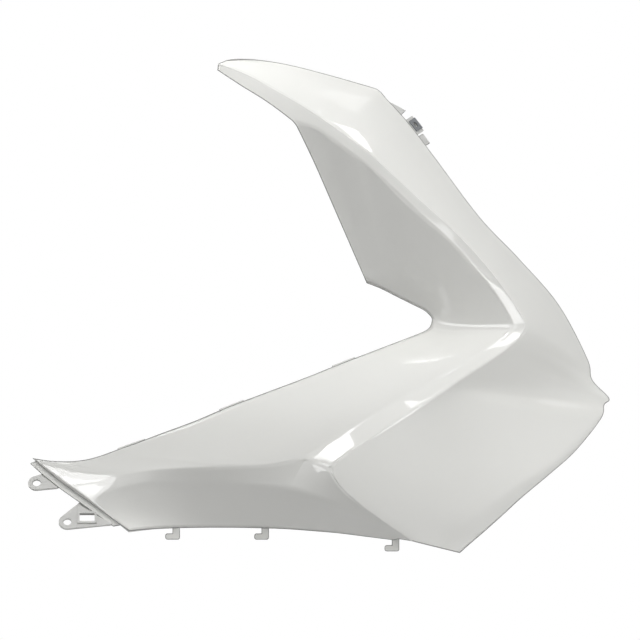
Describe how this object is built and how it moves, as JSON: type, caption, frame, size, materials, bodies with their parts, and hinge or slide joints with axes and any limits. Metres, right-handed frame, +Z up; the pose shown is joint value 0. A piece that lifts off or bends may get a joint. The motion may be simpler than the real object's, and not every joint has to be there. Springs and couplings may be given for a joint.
{
  "type": "scooter front side panel",
  "caption": "Left front side panel of a scooter: a thin glossy moulding with a sharp crest line, a recess behind it, screw ears, bottom hooks and a steel clip nut.",
  "frame": {"origin": "middle of the lower ear's screw hole, half way through the ear's thickness", "axes": "+X towards the front of the vehicle, along the panel's longest extent; +Y inward, so the outer face looks towards -Y; +Z up"},
  "size_m": [0.5848, 0.0864, 0.4936],
  "materials": {
    "pearl_white": "gloss",
    "spring_steel": "satin"
  },
  "bodies": {
    "root": {"panel": "pearl_white", "clip_nut": "spring_steel"}
  },
  "joints": []
}
